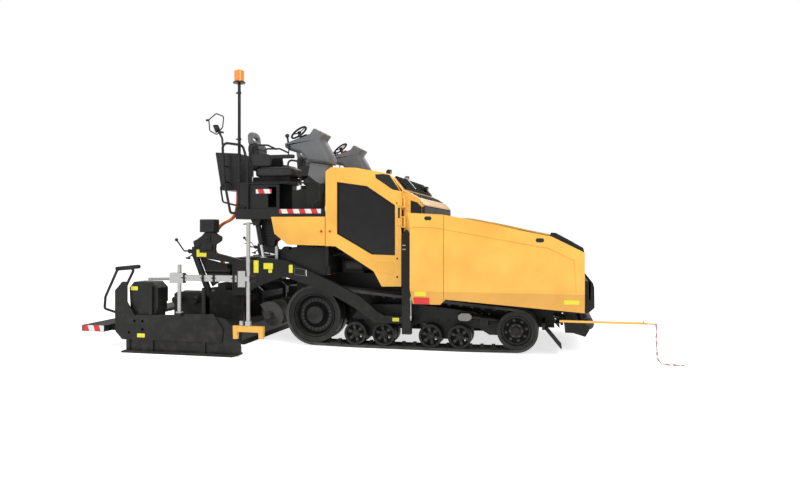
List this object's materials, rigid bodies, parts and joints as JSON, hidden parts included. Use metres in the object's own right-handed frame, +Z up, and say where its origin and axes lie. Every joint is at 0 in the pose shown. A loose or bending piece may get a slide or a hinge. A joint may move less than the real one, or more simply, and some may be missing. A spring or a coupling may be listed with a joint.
{
  "type": "tracked asphalt paver",
  "caption": "Tracked asphalt paver with a folding hopper, twin operator stations, augers and a floating screed that extends to each side.",
  "frame": {"origin": "on the ground, at the middle of the machine's box without its cables and guide chain", "axes": "+X forward, +Y to the machine's left, +Z up"},
  "size_m": [7.8451, 4.3839, 3.9503],
  "materials": {
    "frame_black": "satin black paint",
    "machine_yellow": "semi-gloss yellow paint",
    "belt_rubber": "matt rubber",
    "wheel_black": "satin black paint with rubber treads",
    "steel": "worn steel",
    "silver": "satin aluminium",
    "console_grey": "textured grey plastic",
    "black_plastic": "matt black plastic",
    "seat_vinyl": "black seat cover",
    "amber": "clear amber plastic",
    "engine_cast": "painted casting",
    "flap_rubber": "matt rubber",
    "chain_plastic": "red and white plastic",
    "cable_orange": "orange cable jacket",
    "chrome_rod": "polished rod"
  },
  "bodies": {
    "tractor": {"main_frame": "frame_black", "conveyors": "steel", "engine_block": "engine_cast", "side_tanks": "frame_black", "track_frames": "frame_black", "track_belt_left": "belt_rubber", "track_belt_right": "belt_rubber", "drive_wheels": "wheel_black", "idler_wheels": "wheel_black", "road_wheels": "wheel_black", "body_shell": "machine_yellow", "rear_side_panels": "machine_yellow", "deck": "frame_black", "station_plinths": "frame_black", "console_legs": "frame_black", "guard_rails": "frame_black", "seat_left": "seat_vinyl", "seat_right": "seat_vinyl", "console_left": "console_grey", "console_right": "console_grey", "rear_handrails": "frame_black", "rear_lockers": "frame_black", "beacon_mast": "frame_black", "beacon": "amber", "guide_bar": "machine_yellow", "guide_chain": "chain_plastic", "scraper_flaps": "flap_rubber", "auger_gearbox": "frame_black", "orange_cables": "cable_orange"},
    "hood_lid": {"hood_lid": "machine_yellow"},
    "side_door_left": {"side_door_left": "machine_yellow"},
    "side_door_right": {"side_door_right": "machine_yellow"},
    "steering_wheel_left": {"steering_wheel_left": "black_plastic"},
    "steering_wheel_right": {"steering_wheel_right": "black_plastic"},
    "push_roller_bar": {"push_roller_bar": "frame_black"},
    "push_roller_left": {"push_roller_left": "steel"},
    "push_roller_right": {"push_roller_right": "steel"},
    "hopper_apron": {"hopper_apron": "frame_black"},
    "hopper_wing_left": {"hopper_wing_left": "frame_black", "wing_panel_left": "machine_yellow"},
    "hopper_wing_right": {"hopper_wing_right": "frame_black", "wing_panel_right": "machine_yellow"},
    "auger_left": {"auger_left": "steel"},
    "auger_right": {"auger_right": "steel"},
    "screed": {"tow_arms": "frame_black", "screed_frame": "frame_black", "main_walkway": "frame_black", "depth_struts": "frame_black", "screed_controls": "frame_black"},
    "screed_extension_left": {"screed_extension_left": "frame_black", "end_gate_left": "frame_black"},
    "screed_extension_right": {"screed_extension_right": "frame_black", "end_gate_right": "frame_black", "grade_sensor": "silver", "sensor_shoe": "machine_yellow"},
    "lift_barrels": {"lift_barrels": "frame_black"},
    "lift_pistons": {"lift_pistons": "chrome_rod"}
  },
  "joints": [
    {"name": "hood_lid_open", "type": "hinge", "parent": "tractor", "child": "hood_lid", "pos_m": [0.5625, 0, 2.181], "axis": [0, -1, 0], "range_deg": [0, 60]},
    {"name": "side_door_left_open", "type": "hinge", "parent": "tractor", "child": "side_door_left", "pos_m": [0.549, 1.282, 1.9], "axis": [0, 0, -1], "range_deg": [0, 95]},
    {"name": "steering_wheel_left_turn", "type": "hinge", "parent": "tractor", "child": "steering_wheel_left", "pos_m": [-1.04, 0.98, 3.045], "axis": [-0.6157, 0, 0.788], "range_deg": [-180, 180]},
    {"name": "hopper_wing_left_fold", "type": "hinge", "parent": "tractor", "child": "hopper_wing_left", "pos_m": [2, 0.728, 0.8], "axis": [1, 0, 0], "range_deg": [0, 42]},
    {"name": "auger_left_spin", "type": "hinge", "parent": "tractor", "child": "auger_left", "pos_m": [-1.44, 0.6, 0.42], "axis": [0, 1, 0], "continuous": true},
    {"name": "push_roller_left_spin", "type": "hinge", "parent": "push_roller_bar", "child": "push_roller_left", "pos_m": [2.99, 0.45, 0.388], "axis": [0, 1, 0], "continuous": true},
    {"name": "screed_extension_left_slide", "type": "slide", "parent": "screed", "child": "screed_extension_left", "axis": [0, 1, 0], "range_m": [-0.8, 0.13]},
    {"name": "side_door_right_open", "type": "hinge", "parent": "tractor", "child": "side_door_right", "pos_m": [0.549, -1.282, 1.9], "axis": [0, 0, 1], "range_deg": [0, 95]},
    {"name": "steering_wheel_right_turn", "type": "hinge", "parent": "tractor", "child": "steering_wheel_right", "pos_m": [-1.04, -0.98, 3.045], "axis": [-0.6157, 0, 0.788], "range_deg": [-180, 180]},
    {"name": "hopper_wing_right_fold", "type": "hinge", "parent": "tractor", "child": "hopper_wing_right", "pos_m": [2, -0.728, 0.8], "axis": [-1, 0, 0], "range_deg": [0, 42]},
    {"name": "auger_right_spin", "type": "hinge", "parent": "tractor", "child": "auger_right", "pos_m": [-1.44, -0.6, 0.42], "axis": [0, 1, 0], "continuous": true},
    {"name": "push_roller_right_spin", "type": "hinge", "parent": "push_roller_bar", "child": "push_roller_right", "pos_m": [2.99, -0.45, 0.388], "axis": [0, 1, 0], "continuous": true},
    {"name": "screed_extension_right_slide", "type": "slide", "parent": "screed", "child": "screed_extension_right", "axis": [0, -1, 0], "range_m": [-0.8, 0.13]},
    {"name": "push_roller_bar_swing", "type": "hinge", "parent": "tractor", "child": "push_roller_bar", "pos_m": [2.625, 0, 0.35], "axis": [0, 0, 1], "range_deg": [-6, 6]},
    {"name": "hopper_apron_fold", "type": "hinge", "parent": "tractor", "child": "hopper_apron", "pos_m": [2.922, 0, 0.592], "axis": [0, 1, 0], "range_deg": [0, 70]},
    {"name": "screed_lift", "type": "hinge", "parent": "tractor", "child": "screed", "pos_m": [0.575, 0, 0.41], "axis": [0, 1, 0], "range_deg": [0, 5], "deforming": ["orange_cables"]},
    {"name": "lift_barrel_swing", "type": "hinge", "parent": "tractor", "child": "lift_barrels", "pos_m": [-1.62, 0, 1.745], "axis": [0, -1, 0], "range_deg": [-1, 17.7]},
    {"name": "lift_piston_slide", "type": "slide", "parent": "lift_barrels", "child": "lift_pistons", "axis": [-0.1821, 0, 0.9833], "range_m": [-0.005, 0.1575]}
  ],
  "couplings": [
    {"joint": "lift_barrel_swing", "follows": "screed_lift", "ratio": 3.1393},
    {"joint": "lift_piston_slide", "follows": "screed_lift", "m_per_rad": 1.6904}
  ]
}
